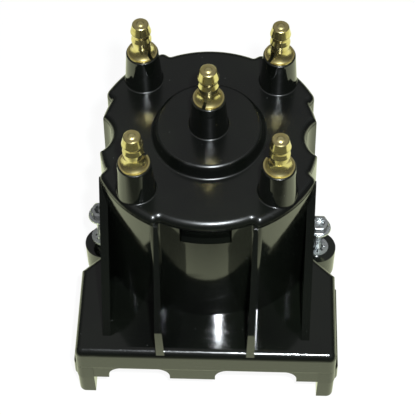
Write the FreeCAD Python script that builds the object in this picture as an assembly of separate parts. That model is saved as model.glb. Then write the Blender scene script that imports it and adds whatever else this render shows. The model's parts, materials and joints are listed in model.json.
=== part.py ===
import FreeCAD, Part
import os
from math import atan2, cos, degrees, radians, sin, sqrt, tan

# Distributor cap for a four-cylinder engine whose ignition coil is a separate unit.
# Millimetres. +Z is up, along the axis of the rotor, and -Y is the front, where the square base is.
# The origin is on the rotor axis, in the plane of the mouth that seats on the distributor housing.

# Round tower: plan radii at the rim, and the draft that makes it wider towards the seat
cap_height = 76.6
draft_deg = 1.25
front_draft_deg = 1.95
side_radius = 34.4
rear_radius = 34.7
front_radius = 35.0
pad_radius = 37.1
pad_start_deg = 25.6
pad_end_deg = 64.6
pad_step_deg = 2.4
front_step_deg = 2.0
pad_edge_round = 2.2
pad_root_round = 0.6
rim_round = 2.8

# Rotor chamber inside the tower
roof_thickness = 5.0
chamber_radius = 31.4
chamber_flare = 0.6
register_radius = 33.0
register_depth = 6.0

# Screwdriver channels down both sides of the tower
channel_radius = 8.6
channel_reach = 30.4
channel_wall = 2.4

# Screw bosses and captive screws
screw_spacing = 74.8
boss_radius = 6.4
boss_height = 12.0
thread_radius = 2.0
thread_length = 10.5
neck_radius = 1.6
neck_length = 13.0
screw_running_clearance = 0.08
head_flange_radius = 4.0
head_flange_thickness = 0.9
head_hexagon = 5.5
head_height = 3.5
head_dome = 0.35
flange_edge = 0.15
thread_chamfer = 0.5
shoulder_chamfer = 0.3
star_radius = 1.75
star_lobe_radius = 0.5
star_core_radius = 1.3
star_depth = 1.5
screw_lift_left = 5.0
screw_lift_right = 0.0
screw_rest_height = 24.0

# Internal-tooth lock washers
washer_radius = 3.8
washer_thickness = 0.6
washer_root_radius = 2.55
washer_tooth_count = 8
washer_slot_width = 0.6
washer_neck_clearance = 0.1
washer_seat_clearance = 0.05

# Square base in front of the tower: plan sizes at the plate's top, and the same draft as the tower
base_front = 51.85
base_half_width = 42.25
base_side_end = 20.0
base_corner_cut = 7.85
base_corner_end = 12.4
plate_height = 26.7
plate_thickness = 3.0
skirt_wall = 2.6
skirt_bottom = 10.3
band_top = 17.0
band_side_step = 0.85
band_front_end = 1.4
band_edge_round = 0.8
front_panel_depth = 0.25
base_edge_round = 2.7
base_corner_round = 2.2

# Front legs and the two arched cut-outs between them
leg_width = 5.55
leg_depth = 6.0
leg_foot_round = 0.9
arch_top = 16.6
arch_round = 4.6
left_arch = (-31.9, -11.8)
right_arch = (3.1, 29.9)

# Inner ribs and outer fins on the front of the tower
rib_outer_x = 15.8
rib_top_thickness = 1.4
rib_foot_thickness = 2.7
rib_face_height = 40.7
rib_rim_stand = 0.15
fin_thickness = 2.6
fin_foot_y = 45.65

# Recess in the front wall just under the rim
recess_half_width = 7.6
recess_top = 74.0
recess_bottom = 67.6
recess_floor_depth = 1.75

# Raised disc and the terminal towers on the roof
terminal_pitch = 43.0
disc_radius = 17.4
disc_top_radius = 16.8
disc_height = 4.5
disc_root = 1.0
disc_round = 1.5
tower_foot_radius = 6.0
tower_top_radius = 5.1
tower_root = 0.65
tower_edge = 0.4
tower_height = 12.9

# Formed brass terminals
terminal_height = 13.2
flange_radius = 4.75
flange_thickness = 0.5
terminal_wall = 0.6
head_top_radius = 2.55
head_bead_radius = 3.22
waist_radius = 2.65
ring_radius = 3.15
shank_radius = 2.85
head_edge = 0.25
bead_drop = 3.35
bead_half = 0.4
bead_relief = 0.1
waist_drop = 4.9
waist_half = 0.35
waist_relief = 0.08
ring_top_drop = 6.6
ring_bottom_drop = 7.5
ring_chamfer = 0.1
flare_drop = 9.0
flare_mid_height = 1.85
flare_mid_reach = 0.42
flange_flat = 0.5
flare_bore_flat = 1.3
slit_width = 1.15
slit_height = 3.2
slit_start_radius = 1.65
centre_slit_deg = -108.0

# Moulded-in electrodes, their sleeves in the chamber and the carbon button
electrode_radius = 1.9
insert_clearance = 0.02
rivet_radius = 0.95
rivet_head_radius = 1.3
rivet_top_radius = 0.8
rivet_head_height = 0.3
contact_radius = 3.3
contact_bottom = 42.0
contact_top = 54.0
contact_face_radius = 27.4
sleeve_radius = 5.0
sleeve_bottom = 53.0
centre_boss_radius = 8.0
centre_boss_bottom = 57.0
button_radius = 3.0
button_bottom = 54.5
button_top = 61.0
button_dome = 1.05
flash_rib_thickness = 1.6
flash_rib_depth = 6.0
roof_core_inner = 9.6
roof_core_outer = 13.4
roof_core_depth = 5.6

# Worked out from the above
pitch = terminal_pitch / 2
screw_x = screw_spacing / 2
roof_underside = cap_height - roof_thickness
disc_top = cap_height + disc_height
channel_x = channel_reach + channel_radius
thread_hole_radius = thread_radius + screw_running_clearance
corners = {"front_left": (-1, -1), "front_right": (1, -1), "rear_left": (-1, 1), "rear_right": (1, 1)}
tower_seat = cap_height + tower_height
centre_seat = disc_top + tower_height
overlap = 0.5


def vec(x, y, z=0.0):
    return FreeCAD.Vector(x, y, z)


def polar(radius, angle_deg, z=0.0):
    return vec(radius * cos(radians(angle_deg)), radius * sin(radians(angle_deg)), z)


def box(x0, x1, y0, y1, z0, z1):
    return Part.makeBox(x1 - x0, y1 - y0, z1 - z0, vec(x0, y0, z0))


def cylinder(radius, z0, z1, x=0.0, y=0.0):
    return Part.makeCylinder(radius, z1 - z0, vec(x, y, z0))


def prism(points, direction):
    """A flat polygon pushed along a direction."""
    return Part.Face(Part.makePolygon(points + [points[0]])).extrude(direction)


def turned(segments, z=0.0):
    """A solid of revolution. Each segment is (start, end) or (start, through, end), as (radius, height)."""
    edges = []
    for segment in segments:
        points = [vec(r, 0, h) for r, h in segment]
        if len(points) == 2:
            edges.append(Part.LineSegment(*points).toShape())
        else:
            edges.append(Part.Arc(*points).toShape())
    solid = Part.Face(Part.Wire(edges)).revolve(vec(0, 0, 0), vec(0, 0, 1), 360)
    solid = Part.Solid(solid.Shells[0]) if solid.ShapeType != "Solid" else solid
    solid.translate(vec(0, 0, z))
    return solid


def outline_segments(points):
    """Join (radius, height) points by straight lines into a closed outline."""
    return [(a, b) for a, b in zip(points, points[1:] + points[:1]) if a != b]


def mirrored(shape):
    """The same shape on the other side of the YZ plane."""
    return shape.mirror(vec(0, 0, 0), vec(1, 0, 0))


def edges_where(shape, test):
    return [edge for edge in shape.Edges if test(edge)]


def upright(edge):
    start, end = edge.Vertexes[0].Point, edge.Vertexes[-1].Point
    return abs(start.z - end.z) > 0.9 * edge.Length


def top_reach(edge):
    """Distance of an edge's upper end from the rotor axis."""
    top = max((vertex.Point for vertex in edge.Vertexes), key=lambda point: point.z)
    return sqrt(top.x ** 2 + top.y ** 2)


def spread(z, angle_deg=draft_deg, top=cap_height):
    """How much further out a drafted wall is at height z than at its top."""
    return (top - z) * tan(radians(angle_deg))


def front_wall(z):
    """Radius of the tower's front wall at height z."""
    return front_radius + spread(z, front_draft_deg)


def tower_outline(z):
    """Plan of the round tower at height z: four thicker pads between thinner side, front and rear walls."""
    grow = spread(z)
    side, rear, pad = side_radius + grow, rear_radius + grow, pad_radius + grow
    start, end, step = pad_start_deg, pad_end_deg, pad_step_deg
    front_end = end + front_step_deg
    arcs = [(side, step - start, start - step), (pad, start, end),
            (rear, end + step, 180 - end - step), (pad, 180 - end, 180 - start),
            (side, 180 - start + step, 180 + start - step), (pad, 180 + start, 180 + end),
            (front_wall(z), 180 + front_end, 360 - front_end), (pad, 360 - end, 360 - start)]
    edges = []
    for index, (radius, a, b) in enumerate(arcs):
        next_radius, next_a = arcs[(index + 1) % len(arcs)][:2]
        edges.append(Part.Arc(polar(radius, a, z), polar(radius, (a + b) / 2, z), polar(radius, b, z)).toShape())
        edges.append(Part.LineSegment(polar(radius, b, z), polar(next_radius, next_a, z)).toShape())
    return Part.Wire(edges)


def tower_block():
    """The drafted tower before it is hollowed, with the screwdriver channels and the rounded rim."""
    block = Part.makeLoft([tower_outline(0.0), tower_outline(cap_height)], True, True)
    outer_edges = [e for e in edges_where(block, upright) if top_reach(e) > pad_radius - 0.01]
    block = block.makeFillet(pad_edge_round, outer_edges)
    thin_walls = (side_radius, rear_radius, front_radius)
    root_edges = [e for e in edges_where(block, upright) if min(abs(top_reach(e) - r) for r in thin_walls) < 0.01]
    block = block.makeFillet(pad_root_round, root_edges)
    narrow = channel_radius - spread(boss_height)
    for side in (-1, 1):
        channel = Part.makeCone(narrow, channel_radius, cap_height - boss_height,
                                vec(side * channel_x, 0, boss_height))
        block = block.cut(channel)
    rim = edges_where(block, lambda edge: edge.BoundBox.ZMin > cap_height - 0.01)
    return block.makeFillet(rim_round, rim)


def chamber():
    """The hollow of the tower: the register at the mouth, and the drafted chamber up to the roof."""
    space = Part.makeCone(chamber_radius + chamber_flare, chamber_radius, roof_underside - register_depth,
                          vec(0, 0, register_depth))
    for side in (-1, 1):
        wall_back = cylinder(channel_radius + channel_wall, boss_height - channel_wall, roof_underside,
                             side * channel_x)
        space = space.cut(wall_back)
    for sx, sy in corners.values():
        space = space.cut(cylinder(sleeve_radius, sleeve_bottom, roof_underside, sx * pitch, sy * pitch))
    space = space.cut(cylinder(centre_boss_radius, centre_boss_bottom, roof_underside))
    half = flash_rib_thickness / 2
    reach = chamber_radius + chamber_flare
    rib_bottom = roof_underside - flash_rib_depth
    space = space.cut(box(-reach, reach, -half, half, rib_bottom, roof_underside))
    space = space.cut(box(-half, half, -reach, reach, rib_bottom, roof_underside))
    core = cylinder(roof_core_outer, roof_underside - overlap, roof_underside + roof_core_depth)
    core = core.cut(cylinder(roof_core_inner, roof_underside - overlap, roof_underside + roof_core_depth))
    core = core.cut(box(-reach, reach, -half, half, rib_bottom, cap_height))
    core = core.cut(box(-half, half, -reach, reach, rib_bottom, cap_height))
    register = cylinder(register_radius, -overlap, register_depth)
    return space.fuse([core, register])


def base_spread(z):
    """How much wider the drafted base is at height z than at the plate's top."""
    return spread(z, draft_deg, plate_height)


def base_plan(inset, z, widen=0.0, front_in=0.0):
    """Plan of the square base at height z as points, moved inwards by inset."""
    half = base_half_width + base_spread(z) + widen - inset
    front = -base_front - base_spread(z) + front_in + inset
    corner = half - base_corner_cut
    points = [(half, front), (half, -base_side_end), (corner, -base_corner_end - inset)]
    return [vec(x, y, z) for x, y in points] + [vec(-x, y, z) for x, y in reversed(points)]


def drafted(lower, upper):
    """A block between two plans of as many points."""
    return Part.makeLoft([Part.makePolygon(plan + [plan[0]]) for plan in (lower, upper)], True, True)


def base_block():
    """The square base in front: a plate with a drafted skirt, and a band along each side that stands out."""
    block = drafted(base_plan(0.0, skirt_bottom), base_plan(0.0, plate_height))
    front_corners = [e for e in edges_where(block, upright) if e.BoundBox.YMax < -base_side_end - overlap]
    block = block.makeFillet(base_corner_round, front_corners)
    top_edges = [e for e in edges_where(block, lambda e: e.BoundBox.ZMin > plate_height - 0.01)
                 if e.BoundBox.YMin < -base_corner_end - 0.01]
    block = block.makeFillet(base_edge_round, top_edges)
    band = drafted(base_plan(0.0, skirt_bottom, band_side_step, band_front_end),
                   base_plan(0.0, band_top, band_side_step, band_front_end))
    band_corners = [e for e in edges_where(band, upright) if e.BoundBox.YMax < -base_side_end - overlap]
    band = band.makeFillet(base_corner_round, band_corners)
    band_top_edges = [e for e in edges_where(band, lambda e: e.BoundBox.ZMin > band_top - 0.01)
                      if e.BoundBox.YMin < -base_corner_end - 0.01]
    band = band.makeFillet(band_edge_round, band_top_edges)
    return block.fuse(band)


def leg(side):
    """A front corner post with a rounded foot, flush with the skirt at the band's top."""
    outer = base_half_width + base_spread(band_top)
    inner = outer - leg_width
    front = -base_front - base_spread(band_top)
    post = box(inner, outer, front, front + leg_depth, 0.0, band_top)
    corner = [e for e in edges_where(post, upright)
              if e.BoundBox.XMin > outer - 0.01 and e.BoundBox.YMax < front + 0.01]
    post = post.makeFillet(base_corner_round, corner)
    post = post.makeFillet(leg_foot_round, edges_where(post, lambda e: e.BoundBox.ZMax < 0.01))
    core = box(inner, outer - base_corner_round, front + base_corner_round, front + leg_depth, band_top - overlap,
               plate_height - base_edge_round)
    shape = post.fuse(core)
    return shape if side > 0 else mirrored(shape)


def front_panel():
    """The thin slice that sets the lower front face back between the legs."""
    reach = base_half_width + base_spread(band_top) - leg_width
    floor = -base_front - base_spread(band_top) + front_panel_depth
    return box(-reach, reach, floor - skirt_wall, floor, skirt_bottom - overlap, band_top)


def arch(ends):
    """A cut through the front skirt, open at the bottom, with rounded upper corners."""
    front = -base_front - base_spread(skirt_bottom) - overlap
    cut = box(*ends, front, front + skirt_wall + 2 * overlap, skirt_bottom - overlap, arch_top)
    upper = edges_where(cut, lambda e: e.BoundBox.ZMin > arch_top - 0.01 and e.BoundBox.XLength < 0.01)
    return cut.makeFillet(arch_round, upper)


def front_rib(side):
    """An inner rib: an upright lower face in line with the base, a slope up to the rim, and a drafted inner side."""
    foot, top = plate_height - overlap, cap_height - rim_round
    rim_y = -sqrt(pad_radius ** 2 - rib_outer_x ** 2) - rib_rim_stand
    inside = -sqrt(chamber_radius ** 2 - rib_outer_x ** 2)
    profile = [(-base_front, foot), (-base_front, rib_face_height), (rim_y, top), (inside, top), (inside, foot)]
    front_view = [(rib_outer_x, foot), (rib_outer_x, top), (rib_outer_x - rib_top_thickness, top),
                  (rib_outer_x - rib_foot_thickness, foot)]
    shape = prism([vec(0, y, z) for y, z in profile], vec(rib_outer_x + overlap, 0, 0))
    shape = shape.common(prism([vec(x, -base_front - overlap, z) for x, z in front_view], vec(0, base_front, 0)))
    return shape if side > 0 else mirrored(shape)


def front_fin(side):
    """An outer fin: a triangle from the pad's corner at the rim to its foot on the plate."""
    foot, top = plate_height - overlap, cap_height - rim_round
    corner = polar(pad_radius, -pad_start_deg)
    profile = [(-fin_foot_y, foot), (corner.y - overlap, top), (corner.y + overlap, top), (corner.y + overlap, foot)]
    shape = prism([vec(corner.x - fin_thickness, y, z) for y, z in profile], vec(fin_thickness, 0, 0))
    return shape if side > 0 else mirrored(shape)


def moulded_spigot(seat, height, foot_radius, top_radius, root, edge):
    """A drafted round spigot that stands on a face at height seat, with a root fillet and a rounded top edge."""
    bend = root * (1 - sqrt(0.5))
    turn = edge * (1 - sqrt(0.5))
    outline = [((0, -overlap), (foot_radius + root, -overlap)),
               ((foot_radius + root, -overlap), (foot_radius + root, 0)),
               ((foot_radius + root, 0), (foot_radius + bend, bend), (foot_radius, root)),
               ((foot_radius, root), (top_radius, height - edge)),
               ((top_radius, height - edge), (top_radius - turn, height - turn), (top_radius - edge, height)),
               ((top_radius - edge, height), (0, height)),
               ((0, height), (0, -overlap))]
    return turned(outline, seat)


def front_recess():
    """The shallow recess in the front wall under the rim, with a floor that follows the wall."""
    floor_radius = front_wall(recess_top) - recess_floor_depth
    outside = front_wall(recess_bottom) + overlap
    inside = sqrt(floor_radius ** 2 - recess_half_width ** 2) - overlap
    space = box(-recess_half_width, recess_half_width, -outside, -inside, recess_bottom, recess_top)
    return space.cut(cylinder(floor_radius, recess_bottom - overlap, recess_top + overlap))


def bay():
    """The space under the plate, between the tower, the skirt and the legs."""
    top = plate_height - plate_thickness
    space = drafted(base_plan(skirt_wall, -overlap), base_plan(skirt_wall, top))
    space = space.fuse(drafted(base_plan(skirt_wall, -overlap, band_side_step),
                               base_plan(skirt_wall, band_top - skirt_wall, band_side_step)))
    outside = Part.makeLoft([tower_outline(-2 * overlap), tower_outline(cap_height)], True, True)
    keep = [outside, leg(-1), leg(1)]
    for side in (-1, 1):
        keep.append(cylinder(boss_radius, 0, boss_height, side * screw_x))
    for piece in keep:
        space = space.cut(piece)
    return space


def with_corner_towers(block):
    """Four drafted posts on the roof, each with a foot fillet that runs over the rounded rim, and a rounded top."""
    draft = (tower_foot_radius - tower_top_radius) / tower_height
    centres = [vec(sx * pitch, sy * pitch) for sx, sy in corners.values()]
    for centre in centres:
        foot = centre + vec(0, 0, cap_height - rim_round)
        block = block.fuse(Part.makeCone(tower_foot_radius + draft * rim_round, tower_top_radius,
                                         tower_height + rim_round, foot))
    block = block.removeSplitter()

    def at_foot(edge):
        box_z = edge.BoundBox
        if box_z.ZMin < cap_height - rim_round - 0.01 or box_z.ZMax > cap_height + 0.01:
            return False
        middle = edge.valueAt((edge.FirstParameter + edge.LastParameter) / 2)
        gaps = [vec(middle.x, middle.y).distanceToPoint(centre) for centre in centres]
        return abs(min(gaps) - tower_foot_radius) < draft * rim_round
    block = block.makeFillet(tower_root, edges_where(block, at_foot))
    return block.makeFillet(tower_edge, edges_where(block, lambda e: e.BoundBox.ZMin > tower_seat - 0.01))


def cap_body():
    """The whole moulding."""
    solids = [base_block(), leg(-1), leg(1)]
    for side in (-1, 1):
        solids += [front_rib(side), front_fin(side), cylinder(boss_radius, 0, boss_height, side * screw_x)]
    body = with_corner_towers(tower_block()).fuse(solids)
    body = body.cut([bay(), chamber(), front_recess(), front_panel(), arch(left_arch), arch(right_arch)])
    body = body.fuse(moulded_spigot(cap_height, disc_height, disc_radius, disc_top_radius, disc_root, disc_round))
    body = body.fuse(moulded_spigot(disc_top, tower_height, tower_foot_radius, tower_top_radius,
                                    tower_root, tower_edge))
    body = body.removeSplitter()
    for sx, sy in corners.values():
        body = body.cut(outer_electrode(sx, sy, insert_clearance))
    body = body.cut(centre_electrode(insert_clearance))
    body = body.cut(carbon_button(insert_clearance))
    for side in (-1, 1):
        body = body.cut(cylinder(thread_hole_radius, -overlap, boss_height + overlap, side * screw_x))
    return body


def outer_electrode(sx, sy, clearance=0.0):
    """A rod up into the terminal, riveted over on top, and a contact whose inner face clears the rotor."""
    x, y = sx * pitch, sy * pitch
    rod_top = tower_seat + terminal_height - terminal_wall
    if clearance:
        rod_top = tower_seat + overlap
    rod = cylinder(electrode_radius + clearance, contact_top - overlap, rod_top, x, y)
    contact = cylinder(contact_radius + clearance, contact_bottom - clearance, contact_top, x, y)
    face = cylinder(contact_face_radius - clearance, contact_bottom - overlap, sleeve_bottom + clearance)
    electrode = contact.cut(face).fuse(rod)
    if not clearance:
        electrode = electrode.fuse(rivet(tower_seat, x, y))
    return electrode.removeSplitter()


def rivet(seat, x, y):
    """The turned-down end of a rod, spread over the terminal's top."""
    top = seat + terminal_height
    shank = cylinder(rivet_radius, top - terminal_wall - overlap, top, x, y)
    head = Part.makeCone(rivet_head_radius, rivet_top_radius, rivet_head_height, vec(x, y, top))
    return shank.fuse(head)


def centre_electrode(clearance=0.0):
    """The rod from the carbon button up into the centre terminal."""
    if clearance:
        return cylinder(electrode_radius + clearance, button_top - overlap, centre_seat + overlap)
    rod = cylinder(electrode_radius, button_top, centre_seat + terminal_height - terminal_wall)
    return rod.fuse(rivet(centre_seat, 0, 0)).removeSplitter()


def carbon_button(clearance=0.0):
    """The fixed button, with a domed end for the rotor's spring."""
    radius = button_radius + clearance
    ball = (radius ** 2 + button_dome ** 2) / (2 * button_dome)
    mid = button_bottom + ball - sqrt(ball ** 2 - radius ** 2 / 4)
    crown = button_bottom + button_dome
    outline = [((0, button_bottom), (radius / 2, mid), (radius, crown)),
               ((radius, crown), (radius, button_top)),
               ((radius, button_top), (0, button_top)),
               ((0, button_top), (0, button_bottom))]
    return turned(outline)


def terminal(x, y, seat, slit_deg):
    """A push-on terminal rolled and drawn from thin brass, split along one side at the flare."""
    top = terminal_height
    bead, waist = top - bead_drop, top - waist_drop
    rivet_hole = rivet_radius + insert_clearance
    bore = max(electrode_radius + insert_clearance, waist_radius - terminal_wall)
    flare_top = (shank_radius, top - flare_drop)
    flange_top = (flange_radius - flange_flat, flange_thickness)
    bore_top = (shank_radius - terminal_wall, top - flare_drop + terminal_wall)
    bore_mid = (shank_radius - terminal_wall + flare_mid_reach, flare_mid_height)
    bore_foot = (flange_radius - flare_bore_flat, 0)
    outline = [((rivet_hole, top), (head_top_radius - head_edge, top)),
               ((head_top_radius - head_edge, top), (head_top_radius, top - head_edge)),
               ((head_top_radius, top - head_edge), (head_bead_radius - bead_relief, bead + bead_half)),
               ((head_bead_radius - bead_relief, bead + bead_half), (head_bead_radius, bead),
                (head_bead_radius - bead_relief, bead - bead_half)),
               ((head_bead_radius - bead_relief, bead - bead_half), (waist_radius + waist_relief, waist + waist_half)),
               ((waist_radius + waist_relief, waist + waist_half), (waist_radius, waist),
                (waist_radius + waist_relief, waist - waist_half)),
               ((waist_radius + waist_relief, waist - waist_half), (ring_radius, top - ring_top_drop)),
               ((ring_radius, top - ring_top_drop), (ring_radius, top - ring_bottom_drop)),
               ((ring_radius, top - ring_bottom_drop), (shank_radius, top - ring_bottom_drop - ring_chamfer)),
               ((shank_radius, top - ring_bottom_drop - ring_chamfer), flare_top),
               (flare_top, (shank_radius + flare_mid_reach, flare_mid_height), flange_top),
               (flange_top, (flange_radius, flange_thickness)),
               ((flange_radius, flange_thickness), (flange_radius, 0)),
               ((flange_radius, 0), bore_foot),
               (bore_foot, bore_mid, bore_top),
               (bore_top, (ring_radius - terminal_wall, top - ring_top_drop)),
               ((ring_radius - terminal_wall, top - ring_top_drop), (bore, waist - waist_half)),
               ((bore, waist - waist_half), (bore, waist + waist_half)),
               ((bore, waist + waist_half), (head_bead_radius - terminal_wall, bead)),
               ((head_bead_radius - terminal_wall, bead), (head_top_radius - terminal_wall, top - terminal_wall)),
               ((head_top_radius - terminal_wall, top - terminal_wall), (rivet_hole, top - terminal_wall)),
               ((rivet_hole, top - terminal_wall), (rivet_hole, top))]
    shape = turned(outline)
    half = slit_width / 2
    slit = box(slit_start_radius, flange_radius + overlap, -half, half, -overlap, slit_height)
    slit.rotate(vec(0, 0, 0), vec(0, 0, 1), slit_deg)
    shape = shape.cut(slit)
    shape.translate(vec(x, y, seat))
    return shape


def star_recess(top):
    """Six round lobes and a core, sunk into the head."""
    bottom = top - star_depth
    core = cylinder(star_core_radius, bottom, top + overlap)
    reach = star_radius - star_lobe_radius
    lobes = [cylinder(star_lobe_radius, bottom, top + overlap, *polar(reach, 60 * i)[:2]) for i in range(6)]
    return core.fuse(lobes)


def captive_screw(side, lift):
    """A screw with a hexagon washer head, a waisted neck and a threaded end, standing in its boss."""
    seat = screw_rest_height + lift
    shoulder = seat - neck_length
    tip = shoulder - thread_length
    flange_top = seat + head_flange_thickness
    top = seat + head_height
    half = head_hexagon / 2
    shank = turned(outline_segments([(0, tip), (thread_radius - thread_chamfer, tip),
                                     (thread_radius, tip + thread_chamfer),
                                     (thread_radius, shoulder - shoulder_chamfer), (neck_radius, shoulder),
                                     (neck_radius, seat), (head_flange_radius - flange_edge, seat),
                                     (head_flange_radius, seat + flange_edge),
                                     (head_flange_radius - flange_edge, flange_top - flange_edge),
                                     (half, flange_top), (half, flange_top + overlap), (0, flange_top + overlap)]))
    corner = half / cos(radians(30))
    hexagon = prism([polar(corner, 60 * i, flange_top - flange_edge) for i in range(6)],
                    vec(0, 0, top - flange_top + flange_edge))
    ball = (corner ** 2 + head_dome ** 2) / (2 * head_dome)
    crown = Part.makeSphere(ball, vec(0, 0, top + head_dome / 3 - ball))
    head = hexagon.common(crown)
    screw = shank.fuse(head).cut(star_recess(top)).removeSplitter()
    screw.translate(vec(side * screw_x, 0, 0))
    return screw


def lock_washer(side, bottom):
    """A flat ring with teeth that point in to the neck of the screw."""
    bore = neck_radius + washer_neck_clearance
    ring = cylinder(washer_radius, bottom, bottom + washer_thickness)
    ring = ring.cut(cylinder(bore, bottom - overlap, bottom + washer_thickness + overlap))
    half = washer_slot_width / 2
    for index in range(washer_tooth_count):
        slot = box(0, washer_root_radius, -half, half, bottom - overlap, bottom + washer_thickness + overlap)
        slot.rotate(vec(0, 0, 0), vec(0, 0, 1), 360 / washer_tooth_count * index)
        ring = ring.cut(slot)
    ring.translate(vec(side * screw_x, 0, 0))
    return ring


parts = {"cap_body": cap_body(),
         "terminal_centre": terminal(0, 0, centre_seat, centre_slit_deg),
         "electrode_centre": centre_electrode(),
         "carbon_button": carbon_button(),
         "screw_left": captive_screw(-1, screw_lift_left),
         "screw_right": captive_screw(1, screw_lift_right)}
for name, (sx, sy) in corners.items():
    inward_deg = degrees(atan2(-sy, -sx))
    parts["terminal_" + name] = terminal(sx * pitch, sy * pitch, tower_seat, inward_deg)
    parts["electrode_" + name] = outer_electrode(sx, sy)

left_shoulder = screw_rest_height + screw_lift_left - neck_length
parts["lock_washer_left"] = lock_washer(-1, left_shoulder + washer_seat_clearance)
parts["lock_washer_right"] = lock_washer(1, boss_height)

os.makedirs("parts", exist_ok=True)
for name, shape in parts.items():
    print(name, len(shape.Solids), shape.isValid(), round(shape.Volume / 1000, 3), "cm3")
    shape.exportStep("parts/" + name + ".step")
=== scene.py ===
import json
from math import cos, radians, sin

import bpy
from mathutils import Matrix, Vector

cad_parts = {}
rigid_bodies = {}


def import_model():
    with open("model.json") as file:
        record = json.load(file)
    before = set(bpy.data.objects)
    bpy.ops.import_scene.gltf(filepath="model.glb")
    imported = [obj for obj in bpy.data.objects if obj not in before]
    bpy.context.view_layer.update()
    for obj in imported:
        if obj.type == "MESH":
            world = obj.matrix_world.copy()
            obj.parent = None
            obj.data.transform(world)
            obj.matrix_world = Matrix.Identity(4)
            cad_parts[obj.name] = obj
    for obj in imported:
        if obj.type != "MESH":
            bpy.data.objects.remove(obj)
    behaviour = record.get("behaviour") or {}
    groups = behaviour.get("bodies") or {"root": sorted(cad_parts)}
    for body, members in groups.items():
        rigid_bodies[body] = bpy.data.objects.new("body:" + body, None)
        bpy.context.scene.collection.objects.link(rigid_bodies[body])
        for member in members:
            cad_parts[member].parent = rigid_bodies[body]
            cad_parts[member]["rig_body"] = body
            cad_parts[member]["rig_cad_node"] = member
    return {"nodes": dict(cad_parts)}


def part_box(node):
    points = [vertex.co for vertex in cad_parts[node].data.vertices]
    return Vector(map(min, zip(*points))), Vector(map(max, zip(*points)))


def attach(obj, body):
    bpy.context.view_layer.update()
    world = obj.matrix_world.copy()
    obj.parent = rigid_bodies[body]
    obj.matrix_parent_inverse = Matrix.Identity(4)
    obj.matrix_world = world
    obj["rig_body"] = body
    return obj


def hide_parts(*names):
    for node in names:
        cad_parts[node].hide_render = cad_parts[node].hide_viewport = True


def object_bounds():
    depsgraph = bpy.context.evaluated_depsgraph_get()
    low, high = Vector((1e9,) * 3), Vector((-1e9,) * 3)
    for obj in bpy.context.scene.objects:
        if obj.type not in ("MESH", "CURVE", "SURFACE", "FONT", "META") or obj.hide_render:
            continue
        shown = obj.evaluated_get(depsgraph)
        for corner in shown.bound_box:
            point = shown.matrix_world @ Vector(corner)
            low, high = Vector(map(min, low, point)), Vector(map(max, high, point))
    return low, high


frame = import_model()
cad_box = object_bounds()
nodes = frame["nodes"]


# The housing is one black phenolic moulding: a drafted round tower on a skirted square base. It has
# the mould's polish, a little duller on the roof and on rubbed edges, with faint flow marks, hairline
# scratches and specks of dust. The mould's joints show as fine lines round the tower and the skirt.
class Link:
    """A node's output. Arithmetic on it adds Math nodes, and node() adds any other kind."""

    def __init__(self, socket):
        self.socket = socket

    def node(self, kind, inputs, output=0, **settings):
        """A new node beside this one: its settings first, then the value or link of each socket."""
        tree = self.socket.id_data
        made = tree.nodes.new("ShaderNode" + kind)
        for name, value in settings.items():
            setattr(made, name, value)
        for key, value in inputs.items():
            if isinstance(value, Link):
                tree.links.new(value.socket, made.inputs[key])
            else:
                made.inputs[key].default_value = value
        return Link(made.outputs[output])

    def maths(self, operation, first, second):
        return self.node("Math", {0: first, 1: second}, operation=operation)

    def __add__(self, other):
        return self.maths("ADD", self, other)

    def __radd__(self, other):
        return self.maths("ADD", other, self)

    def __sub__(self, other):
        return self.maths("SUBTRACT", self, other)

    def __rsub__(self, other):
        return self.maths("SUBTRACT", other, self)

    def __mul__(self, other):
        return self.maths("MULTIPLY", self, other)

    def __rmul__(self, other):
        return self.maths("MULTIPLY", other, self)

    def larger(self, other):
        return self.maths("MAXIMUM", self, other)

    def part(self, axis):
        """One coordinate of a vector: 0, 1 or 2 for X, Y or Z."""
        return self.node("SeparateXYZ", {0: self}, output=axis)

    def band(self, low, high, start=0.0, end=1.0):
        """The value's way from low to high, as start to end, held at both."""
        return self.node("MapRange", {"Value": self, "From Min": low, "From Max": high,
                                      "To Min": start, "To Max": end})

    def near(self, middle, reach):
        """1 where the value is at the middle, down to 0 at a reach to either side."""
        return self.node("Math", {0: self - middle}, operation="ABSOLUTE").band(0.0, reach, 1.0, 0.0)

    def within(self, middle, reach):
        """1 almost to a reach on either side of the middle, and 0 beyond it."""
        return self.near(middle, reach).band(0.0, 0.05)

    def facing_up(self):
        """1 on a level top, 0 on an upright wall."""
        return self.node("NewGeometry", {}, output="Normal").part(2)

    def noise(self, scale, detail=2.0, stretch=(1.0, 1.0, 1.0)):
        """Soft noise on these coordinates; scale is in waves to the metre."""
        placed = self.node("Mapping", {"Vector": self, "Scale": stretch})
        return self.node("TexNoise", {"Vector": placed, "Scale": scale, "Detail": detail})

    def tint(self, *colours):
        """A colour between two, by this value."""
        low, high = [colour if isinstance(colour, Link) else (*colour, 1.0) for colour in colours]
        return self.node("Mix", {0: self, 6: low, 7: high}, output=2, data_type="RGBA")

    def bump(self, strength, depth, **base):
        """This height as a normal, on top of a base Normal where one is given."""
        return self.node("Bump", {"Height": self, "Strength": strength, "Distance": depth, **base})


def new_finish(name, **constants):
    """A material and its shader, with what is the same all over set on the shader's own sockets."""
    material = bpy.data.materials.new(name)
    material.use_nodes = True
    shader = material.node_tree.nodes["Principled BSDF"]
    for socket, value in constants.items():
        shader.inputs[socket.replace("_", " ")].default_value = value
    coordinates = Link(material.node_tree.nodes.new("ShaderNodeTexCoord").outputs["Object"])
    return material, shader, coordinates


def feed(shader, **links):
    """Join what changes over a surface to its shader."""
    for socket, link in links.items():
        shader.id_data.links.new(link.socket, shader.inputs[socket.replace("_", " ")])


def give(piece, material):
    """One finish for the whole piece."""
    piece.data.materials.clear()
    piece.data.materials.append(material)


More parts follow.
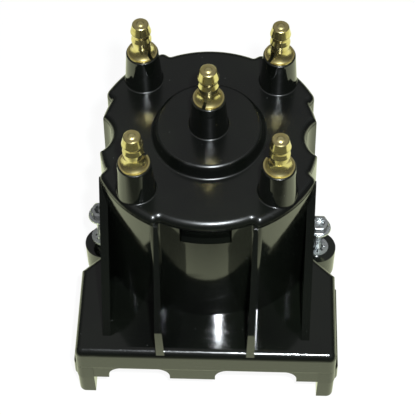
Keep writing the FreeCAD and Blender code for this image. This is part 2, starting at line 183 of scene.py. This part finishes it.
phenolic_dark = (0.0032, 0.0038, 0.0031)
phenolic_light = (0.0056, 0.007, 0.0048)
dust_grey = (0.12, 0.12, 0.115)
mark_depth = 0.00022
parting_height = 0.0742
parting_reach = 0.00045
skirt_line_height = 0.017
skirt_line_reach = 0.0002
skirt_front = -0.0505
skirt_fade = 0.0003
roof_from = 0.0705
roof_fade = 0.001
edge_radius = 0.0003
recess_half_width = 0.0079
recess_front = -0.02
recess_fade = 0.001
recess_middle = 0.0708
recess_half_height = 0.0034
recess_lean = 1000.0
moulded_black, shader, place = new_finish("moulded_black", IOR=1.65)
across, along, height = place.part(0), place.part(1), place.part(2)
facing_up = place.facing_up()
flow = place.noise(38.0, 3.0, (1.0, 1.0, 0.45))
haze = place.noise(140.0, 4.0)
peel = place.noise(420.0, 2.0)
scratch = place.noise(900.0, 2.0, (0.06, 1.0, 0.3)).band(0.62, 0.7)
dust = place.node("TexVoronoi", {"Vector": place, "Scale": 300.0}).band(0.025, 0.04, 1.0, 0.0)
parting_line = height.near(parting_height, parting_reach)
skirt_line = (height.near(skirt_line_height, skirt_line_reach)
              * along.band(skirt_front - skirt_fade, skirt_front, 1.0, 0.0))
recess = (across.within(0.0, recess_half_width) * along.band(recess_front, recess_front - recess_fade)
          * height.within(recess_middle, recess_half_height))
near_roof = height.band(roof_from, roof_from + roof_fade)
edges = place.node("Mix", {0: near_roof, 4: place.node("NewGeometry", {}, output="Normal"),
                           5: place.node("Bevel", {"Radius": edge_radius})}, output=1, data_type="VECTOR")
roof = facing_up.band(0.5, 0.9) * near_roof
rubbed = facing_up.band(0.55, 0.65) * facing_up.band(0.92, 0.98, 1.0, 0.0)
marks = (peel * 0.03 + haze * 0.02 + recess * height * recess_lean
         - parting_line - skirt_line * 0.6)
feed(shader,
     Base_Color=dust.tint(flow.band(0.35, 0.65).tint(phenolic_dark, phenolic_light), dust_grey),
     Roughness=haze.band(0.35, 0.7, 0.07, 0.1) + roof * 0.12 + rubbed * 0.1 + scratch * 0.06 + dust * 0.3,
     Normal=marks.bump(1.0, mark_depth, Normal=edges))
give(nodes["cap_body"], moulded_black)


# Five terminals, each rolled and drawn from thin yellow brass, sit on the rims of the posts. They
# are bright where the dies drew them, with patches of tarnish, and duller on top.
brass_bright = (0.84, 0.72, 0.34)
brass_dull = (0.56, 0.46, 0.16)
drawing_depth = 0.0001
drawn_brass, shader, place = new_finish("drawn_brass")
tarnish = place.noise(260.0, 4.0)
rings = place.noise(1500.0, 1.0, (0.1, 0.1, 1.0))
feed(shader,
     Base_Color=tarnish.band(0.4, 0.75).tint(brass_bright, brass_dull),
     Metallic=tarnish.band(0.3, 0.7, 1.0, 0.94),
     Roughness=tarnish.band(0.3, 0.7, 0.13, 0.24) + place.facing_up().band(0.2, 0.7) * 0.15,
     Normal=(rings + tarnish * 0.6).bump(0.16, drawing_depth))
corners = ["front_left", "front_right", "rear_left", "rear_right"]
for corner in ["centre", *corners]:
    give(nodes["terminal_" + corner], drawn_brass)


# A rod of soft brass runs down from each terminal into the moulding. Its upper end is spread over
# the terminal as a rivet, and its lower end is the contact that the rotor passes.
rod_clean = (0.78, 0.68, 0.34)
rod_sparked = (0.5, 0.42, 0.17)
electrode_metal, shader, place = new_finish("electrode_metal")
sparked = place.noise(600.0, 4.0)
feed(shader,
     Base_Color=sparked.band(0.45, 0.7).tint(rod_clean, rod_sparked),
     Metallic=sparked.band(0.3, 0.7, 1.0, 0.88),
     Roughness=sparked.band(0.3, 0.7, 0.36, 0.5))
for corner in ["centre", *corners]:
    give(nodes["electrode_" + corner], electrode_metal)


# The button under the centre terminal is pressed carbon, fixed in the roof of the chamber. It is
# smooth and grey where the rotor's spring rubs it.
carbon_dark = (0.012, 0.012, 0.013)
carbon_rubbed = (0.05, 0.05, 0.052)
grain_depth = 0.0001
pressed_carbon, shader, place = new_finish("pressed_carbon")
grain = place.noise(2400.0, 4.0)
feed(shader,
     Base_Color=grain.tint(carbon_dark, carbon_rubbed),
     Roughness=grain.band(0.3, 0.7, 0.42, 0.62),
     Normal=grain.bump(0.3, grain_depth))
give(nodes["carbon_button"], pressed_carbon)


# Two captive steel screws hold the cap down, one at each side. Each has a hexagon head with a flange
# and a star recess, a waisted neck, and a coarse thread that runs in the boss. They are zinc plated,
# with a blue cast, and so are the toothed lock washers on their necks.
zinc_blue = (0.84, 0.88, 0.9)
zinc_grey = (0.62, 0.65, 0.64)
plating_depth = 0.0001
zinc_plate, shader, place = new_finish("zinc_plate")
bloom = place.noise(700.0, 3.0)
feed(shader,
     Base_Color=bloom.band(0.35, 0.7).tint(zinc_blue, zinc_grey),
     Metallic=bloom.band(0.3, 0.7, 1.0, 0.9),
     Roughness=bloom.band(0.3, 0.7, 0.12, 0.3) + place.facing_up().band(0.5, 0.9) * 0.08,
     Normal=bloom.bump(0.6, plating_depth))
neck_length = 0.013
head_height = 0.0035
head_dome = 0.00035
thread_crest = 0.002
thread_root = 0.0016
thread_pitch = 0.0008
thread_crest_flat = thread_pitch / 4
thread_turns = 16
thread_steps = 28
thread_start = 1.5 * thread_pitch
thread_overlap = 0.0001
same_point = 1e-6
smooth_below = radians(35)


def cut_level(height, keep_above):
    """Cut the mesh being edited at a height, close the cut, and drop one side."""
    bpy.ops.mesh.select_all(action="SELECT")
    bpy.ops.mesh.bisect(plane_co=(0, 0, height), plane_no=(0, 0, 1), use_fill=True,
                        clear_inner=keep_above, clear_outer=not keep_above)


def add_thread(name, x, tip, shoulder):
    """The threaded end: the thread's profile, screwed up from below the tip and cut off level."""
    bpy.ops.mesh.primitive_plane_add(size=thread_pitch, location=(0, 0, 0))
    thread = bpy.context.object
    thread.name = name
    depth = thread_crest - thread_root
    flank = (thread_pitch - thread_crest_flat) / 2
    bpy.ops.object.mode_set(mode="EDIT")
    bpy.ops.mesh.merge(type="CENTER")
    bpy.ops.transform.translate(value=(thread_root, 0, 0))
    for step in [(depth, 0, flank), (0, 0, thread_crest_flat), (-depth, 0, flank)]:
        bpy.ops.mesh.extrude_region_move(TRANSFORM_OT_translate={"value": step})
    bpy.ops.object.mode_set(mode="OBJECT")
    thread.location = (x, 0, tip - thread_start)
    wind = thread.modifiers.new("wind", "SCREW")
    wind.screw_offset, wind.iterations = thread_pitch, thread_turns
    wind.steps = wind.render_steps = thread_steps
    wind.use_merge_vertices, wind.merge_threshold = True, same_point
    wind.use_normal_calculate = True
    bpy.ops.object.modifier_apply(modifier=wind.name)
    bpy.ops.object.transform_apply(location=True, rotation=False, scale=False)
    bpy.ops.object.mode_set(mode="EDIT")
    cut_level(tip, True)
    cut_level(shoulder, False)
    bpy.ops.mesh.select_all(action="SELECT")
    bpy.ops.mesh.normals_make_consistent(inside=False)
    bpy.ops.object.mode_set(mode="OBJECT")
    return thread


def copy_screw(side):
    """A copy of the screw as built, whose faces are joined at their corners, made active."""
    screw = nodes["screw_" + side].copy()
    screw.data = screw.data.copy()
    screw.name = "captive_screw_" + side
    screw.parent = None
    del screw["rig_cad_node"], screw["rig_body"]
    bpy.context.scene.collection.objects.link(screw)
    bpy.ops.object.select_all(action="DESELECT")
    bpy.context.view_layer.objects.active = screw
    screw.select_set(True)
    bpy.ops.object.mode_set(mode="EDIT")
    bpy.ops.mesh.select_all(action="SELECT")
    bpy.ops.mesh.remove_doubles(threshold=same_point)
    bpy.ops.object.mode_set(mode="OBJECT")
    return screw


for side in ["left", "right"]:
    low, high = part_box("screw_" + side)
    shoulder = high.z - head_dome / 3 - head_height - neck_length
    bpy.ops.object.select_all(action="DESELECT")
    thread = add_thread("screw_thread_" + side, (low.x + high.x) / 2, low.z, shoulder)
    screw = copy_screw(side)
    bpy.ops.object.mode_set(mode="EDIT")
    cut_level(shoulder - thread_overlap, True)
    bpy.ops.object.mode_set(mode="OBJECT")
    thread.select_set(True)
    bpy.ops.object.join()
    bpy.ops.object.shade_smooth_by_angle(angle=smooth_below)
    give(screw, zinc_plate)
    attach(screw, side + "_screw")
    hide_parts("screw_" + side)
    give(nodes["lock_washer_" + side], zinc_plate)


# The part stands on a white table top. The camera sees the table white, with a faint shadow, and
# sees through it from below. Gloss faces show it a little olive, and it fades in front of the part.
table_half = 0.32
table_gap = 0.0001
table_paint = (0.9, 0.9, 0.9)
table_olive = (0.94, 1.0, 0.68)
white = (1.0, 1.0, 1.0)
shadow_share = 0.12
fade_start = -0.066
fade_end = -0.1
faded_share = 0.12
camera_white = 1.06
bpy.ops.object.select_all(action="DESELECT")
bpy.ops.mesh.primitive_plane_add(size=2 * table_half, location=(0, 0, cad_box[0].z - table_gap))
bpy.ops.object.transform_apply(location=True, rotation=False, scale=False)
table_top = bpy.context.object
table_top.name = "table_top"
table_white, shader, place = new_finish("table_white", Roughness=1.0, Base_Color=(*table_paint, 1.0))
by_camera = place.node("LightPath", {}, output="Is Camera Ray")
glossy = place.node("LightPath", {}, output="Is Glossy Ray")
through_glass = place.node("LightPath", {}, output="Is Transmission Ray")
faded = tuple(faded_share * level for level in table_olive)
olive = place.part(1).band(fade_end, fade_start).tint(faded, table_olive)
glow = place.node("Emission", {"Color": by_camera.tint(olive, white),
                               "Strength": by_camera * (camera_white - 1) + 1})
glow_share = (by_camera * (1 - shadow_share)).larger(glossy.larger(through_glass))
shown = place.node("MixShader", {0: glow_share, 1: Link(shader.outputs[0]), 2: glow})
from_below = by_camera * place.node("NewGeometry", {}, output="Backfacing")
clear = place.node("BsdfTransparent", {})
see_through = place.node("MixShader", {0: from_below, 1: shown, 2: clear})
surface = table_white.node_tree.nodes["Material Output"].inputs["Surface"]
table_white.node_tree.links.new(see_through.socket, surface)
give(table_top, table_white)


# The room behind the table is white to the camera. What the part mirrors of it is dim, with more
# light from overhead than from the sides.
room_low = 0.06
room_overhead = 0.22
room = bpy.data.worlds.new("room")
bpy.context.scene.world = room
room.use_nodes = True
backdrop = room.node_tree.nodes["Background"]
backdrop.inputs["Color"].default_value = (*white, 1.0)
direction = Link(room.node_tree.nodes.new("ShaderNodeTexCoord").outputs["Generated"])
camera_ray = direction.node("LightPath", {}, output="Is Camera Ray")
room_glow = direction.part(2).band(0.3, 0.75, room_low, room_overhead)
strength = camera_ray + room_glow * (1 - camera_ray)
room.node_tree.links.new(strength.socket, backdrop.inputs["Strength"])


# The camera stands where the photograph was taken from: in front, above, and a little to the right.
# The lens's length is stated in pixels of the photograph's frame.
camera_place = Vector((0.0105, -0.2639, 0.4255))
camera_azimuth = radians(2.45)
camera_elevation = radians(55.92)
camera_roll = radians(-0.80)
photo_width = 415
focal_pixels = 1400.0
sensor_width = 36.0
nearest_seen = 0.01
back = Vector((sin(camera_azimuth) * cos(camera_elevation), -cos(camera_azimuth) * cos(camera_elevation),
               sin(camera_elevation)))
level_right = Vector((0, 0, 1)).cross(back).normalized()
level_up = back.cross(level_right)
right = cos(camera_roll) * level_right + sin(camera_roll) * level_up
up = cos(camera_roll) * level_up - sin(camera_roll) * level_right
lens = bpy.data.cameras.new("camera")
lens.sensor_width = sensor_width
lens.lens = focal_pixels / photo_width * sensor_width
lens.clip_start = nearest_seen
camera = bpy.data.objects.new("camera", lens)
camera.matrix_world = Matrix.Translation(camera_place) @ Matrix((right, up, back)).transposed().to_4x4()
bpy.context.scene.collection.objects.link(camera)
bpy.context.scene.camera = camera


# One small bluish lamp stands up and to the right of the lens, and faces the middle of the cap. It
# gives the small sharp highlights.
cap_middle = Vector((0.0, -0.005, 0.05))
lamp_place = camera_place + 0.032 * right + 0.031 * up
lamp_blue = (0.9, 0.96, 1.0)
light = bpy.data.lights.new("lamp_by_lens", "AREA")
light.size = 0.019
light.energy = 2.3
light.color = lamp_blue
lamp = bpy.data.objects.new("lamp_by_lens", light)
lamp.location = lamp_place
lamp.rotation_euler = (lamp_place - cap_middle).to_track_quat("Z", "Y").to_euler()
bpy.context.scene.collection.objects.link(lamp)

bpy.context.scene.view_settings.view_transform = "Standard"
